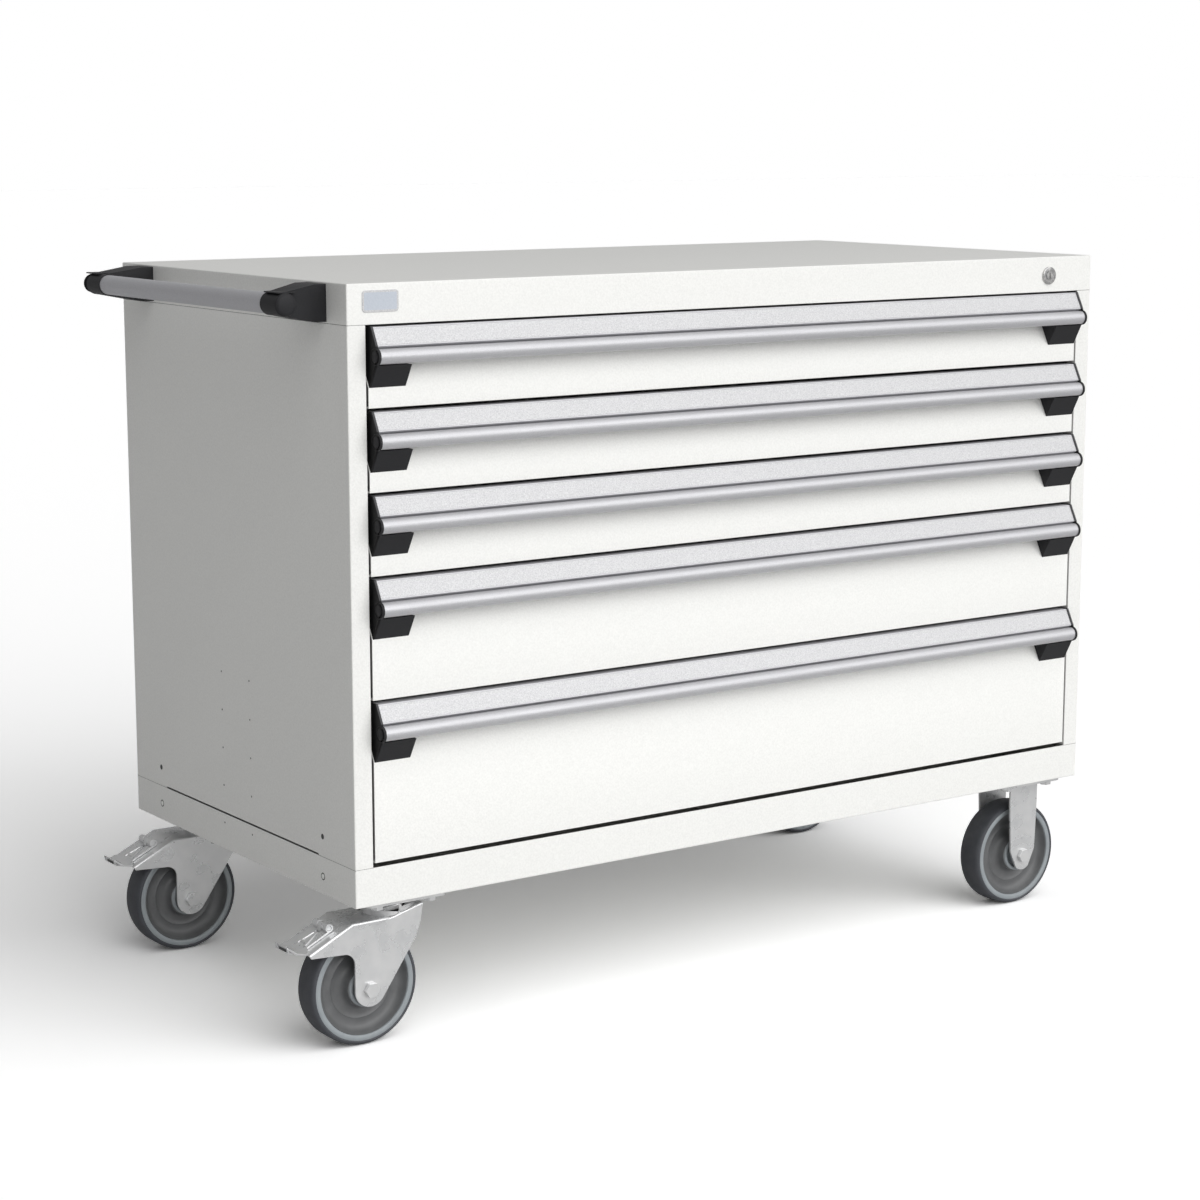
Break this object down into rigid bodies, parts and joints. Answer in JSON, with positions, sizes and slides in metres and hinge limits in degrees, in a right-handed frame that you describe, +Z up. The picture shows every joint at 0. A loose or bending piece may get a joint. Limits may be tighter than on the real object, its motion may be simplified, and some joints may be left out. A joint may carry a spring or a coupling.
{
  "type": "mobile drawer cabinet",
  "caption": "Mobile workshop cabinet with a flat steel worktop, full-width drawers behind slanted aluminium handles, a push handle, locking swivel casters and rigid casters.",
  "frame": {"origin": "on the floor, under the middle of the whole object", "axes": "+X to the right seen from the drawer fronts, +Y to the back, +Z up"},
  "size_m": [1.2998, 0.635, 0.9525],
  "materials": {
    "white_powder_coat": "fine textured powder coat, off-white",
    "anodised_aluminium": "satin silver anodised",
    "grey_tube": "satin grey anodised",
    "black_plastic": "moulded, finely textured",
    "galvanised_steel": "galvanised, satin",
    "zinc_plated_steel": "bright zinc plated",
    "lock_metal": "nickel plated",
    "wheel_plastic": "moulded grey plastic",
    "tyre_rubber": "moulded grey-black rubber"
  },
  "bodies": {
    "cabinet": {"lid": "white_powder_coat", "base_frame": "white_powder_coat", "side_panel_left": "white_powder_coat", "side_panel_right": "white_powder_coat", "back_panel": "white_powder_coat", "cabinet_rails": "galvanised_steel", "lock_body": "lock_metal", "push_handle_tube": "grey_tube", "push_handle_bracket_front": "black_plastic", "push_handle_bracket_rear": "black_plastic", "swivel_plates": "zinc_plated_steel", "rigid_brackets": "zinc_plated_steel", "rigid_axles": "zinc_plated_steel", "caster_bolts": "zinc_plated_steel"},
    "drawer_1": {"drawer_1_box": "white_powder_coat", "drawer_1_front": "white_powder_coat", "drawer_1_handle": "anodised_aluminium", "drawer_1_handle_caps": "black_plastic", "drawer_1_rails": "galvanised_steel"},
    "drawer_1_carriage": {"drawer_1_middle_rails": "galvanised_steel"},
    "drawer_2": {"drawer_2_box": "white_powder_coat", "drawer_2_front": "white_powder_coat", "drawer_2_handle": "anodised_aluminium", "drawer_2_handle_caps": "black_plastic", "drawer_2_rails": "galvanised_steel"},
    "drawer_2_carriage": {"drawer_2_middle_rails": "galvanised_steel"},
    "drawer_3": {"drawer_3_box": "white_powder_coat", "drawer_3_front": "white_powder_coat", "drawer_3_handle": "anodised_aluminium", "drawer_3_handle_caps": "black_plastic", "drawer_3_rails": "galvanised_steel"},
    "drawer_3_carriage": {"drawer_3_middle_rails": "galvanised_steel"},
    "drawer_4": {"drawer_4_box": "white_powder_coat", "drawer_4_front": "white_powder_coat", "drawer_4_handle": "anodised_aluminium", "drawer_4_handle_caps": "black_plastic", "drawer_4_rails": "galvanised_steel"},
    "drawer_4_carriage": {"drawer_4_middle_rails": "galvanised_steel"},
    "drawer_5": {"drawer_5_box": "white_powder_coat", "drawer_5_front": "white_powder_coat", "drawer_5_handle": "anodised_aluminium", "drawer_5_handle_caps": "black_plastic", "drawer_5_rails": "galvanised_steel"},
    "drawer_5_carriage": {"drawer_5_middle_rails": "galvanised_steel"},
    "lock_cylinder": {"lock_plug": "lock_metal"},
    "lock_bar": {"lock_bar": "galvanised_steel"},
    "swivel_front": {"swivel_fork_front": "zinc_plated_steel", "swivel_axle_front": "zinc_plated_steel"},
    "brake_front": {"brake_pedal_front": "zinc_plated_steel"},
    "left_wheel_front": {"left_wheel_hub_front": "wheel_plastic", "left_tyre_front": "tyre_rubber"},
    "right_wheel_front": {"right_wheel_hub_front": "wheel_plastic", "right_tyre_front": "tyre_rubber"},
    "swivel_rear": {"swivel_fork_rear": "zinc_plated_steel", "swivel_axle_rear": "zinc_plated_steel"},
    "brake_rear": {"brake_pedal_rear": "zinc_plated_steel"},
    "left_wheel_rear": {"left_wheel_hub_rear": "wheel_plastic", "left_tyre_rear": "tyre_rubber"},
    "right_wheel_rear": {"right_wheel_hub_rear": "wheel_plastic", "right_tyre_rear": "tyre_rubber"}
  },
  "joints": [
    {"name": "drawer_1_slide", "type": "slide", "parent": "cabinet", "child": "drawer_1", "axis": [0, -1, 0], "range_m": [0, 0.5334]},
    {"name": "drawer_1_carriage_slide", "type": "slide", "parent": "cabinet", "child": "drawer_1_carriage", "axis": [0, -1, 0], "range_m": [0, 0.2667]},
    {"name": "drawer_2_slide", "type": "slide", "parent": "cabinet", "child": "drawer_2", "axis": [0, -1, 0], "range_m": [0, 0.5334]},
    {"name": "drawer_2_carriage_slide", "type": "slide", "parent": "cabinet", "child": "drawer_2_carriage", "axis": [0, -1, 0], "range_m": [0, 0.2667]},
    {"name": "drawer_3_slide", "type": "slide", "parent": "cabinet", "child": "drawer_3", "axis": [0, -1, 0], "range_m": [0, 0.5334]},
    {"name": "drawer_3_carriage_slide", "type": "slide", "parent": "cabinet", "child": "drawer_3_carriage", "axis": [0, -1, 0], "range_m": [0, 0.2667]},
    {"name": "drawer_4_slide", "type": "slide", "parent": "cabinet", "child": "drawer_4", "axis": [0, -1, 0], "range_m": [0, 0.5334]},
    {"name": "drawer_4_carriage_slide", "type": "slide", "parent": "cabinet", "child": "drawer_4_carriage", "axis": [0, -1, 0], "range_m": [0, 0.2667]},
    {"name": "drawer_5_slide", "type": "slide", "parent": "cabinet", "child": "drawer_5", "axis": [0, -1, 0], "range_m": [0, 0.5334]},
    {"name": "drawer_5_carriage_slide", "type": "slide", "parent": "cabinet", "child": "drawer_5_carriage", "axis": [0, -1, 0], "range_m": [0, 0.2667]},
    {"name": "lock_turn", "type": "hinge", "parent": "cabinet", "child": "lock_cylinder", "pos_m": [0.5676, -0.2921, 0.9262], "axis": [0, 1, 0], "range_deg": [0, 90]},
    {"name": "lock_bar_slide", "type": "slide", "parent": "cabinet", "child": "lock_bar", "axis": [-1, 0, 0], "range_m": [0, 0.004]},
    {"name": "swivel_turn_front", "type": "hinge", "parent": "cabinet", "child": "swivel_front", "pos_m": [-0.4901, -0.2337, 0.1705], "axis": [0, 0, 1], "continuous": true},
    {"name": "brake_lift_front", "type": "hinge", "parent": "swivel_front", "child": "brake_front", "pos_m": [-0.5843, -0.2337, 0.15927], "axis": [0, 1, 0], "range_deg": [0, 12]},
    {"name": "left_wheel_roll_front", "type": "hinge", "parent": "swivel_front", "child": "left_wheel_front", "pos_m": [-0.5357, -0.2337, 0.0762], "axis": [0, 1, 0], "continuous": true},
    {"name": "right_wheel_roll_front", "type": "hinge", "parent": "cabinet", "child": "right_wheel_front", "pos_m": [0.5707, -0.2337, 0.0762], "axis": [0, 1, 0], "continuous": true},
    {"name": "swivel_turn_rear", "type": "hinge", "parent": "cabinet", "child": "swivel_rear", "pos_m": [-0.4901, 0.2591, 0.1705], "axis": [0, 0, 1], "continuous": true},
    {"name": "brake_lift_rear", "type": "hinge", "parent": "swivel_rear", "child": "brake_rear", "pos_m": [-0.5843, 0.2591, 0.15927], "axis": [0, 1, 0], "range_deg": [0, 12]},
    {"name": "left_wheel_roll_rear", "type": "hinge", "parent": "swivel_rear", "child": "left_wheel_rear", "pos_m": [-0.5357, 0.2591, 0.0762], "axis": [0, 1, 0], "continuous": true},
    {"name": "right_wheel_roll_rear", "type": "hinge", "parent": "cabinet", "child": "right_wheel_rear", "pos_m": [0.5707, 0.2591, 0.0762], "axis": [0, 1, 0], "continuous": true}
  ],
  "couplings": [
    {"joint": "drawer_1_carriage_slide", "follows": "drawer_1_slide", "ratio": 0.5},
    {"joint": "drawer_2_carriage_slide", "follows": "drawer_2_slide", "ratio": 0.5},
    {"joint": "drawer_3_carriage_slide", "follows": "drawer_3_slide", "ratio": 0.5},
    {"joint": "drawer_4_carriage_slide", "follows": "drawer_4_slide", "ratio": 0.5},
    {"joint": "drawer_5_carriage_slide", "follows": "drawer_5_slide", "ratio": 0.5}
  ]
}
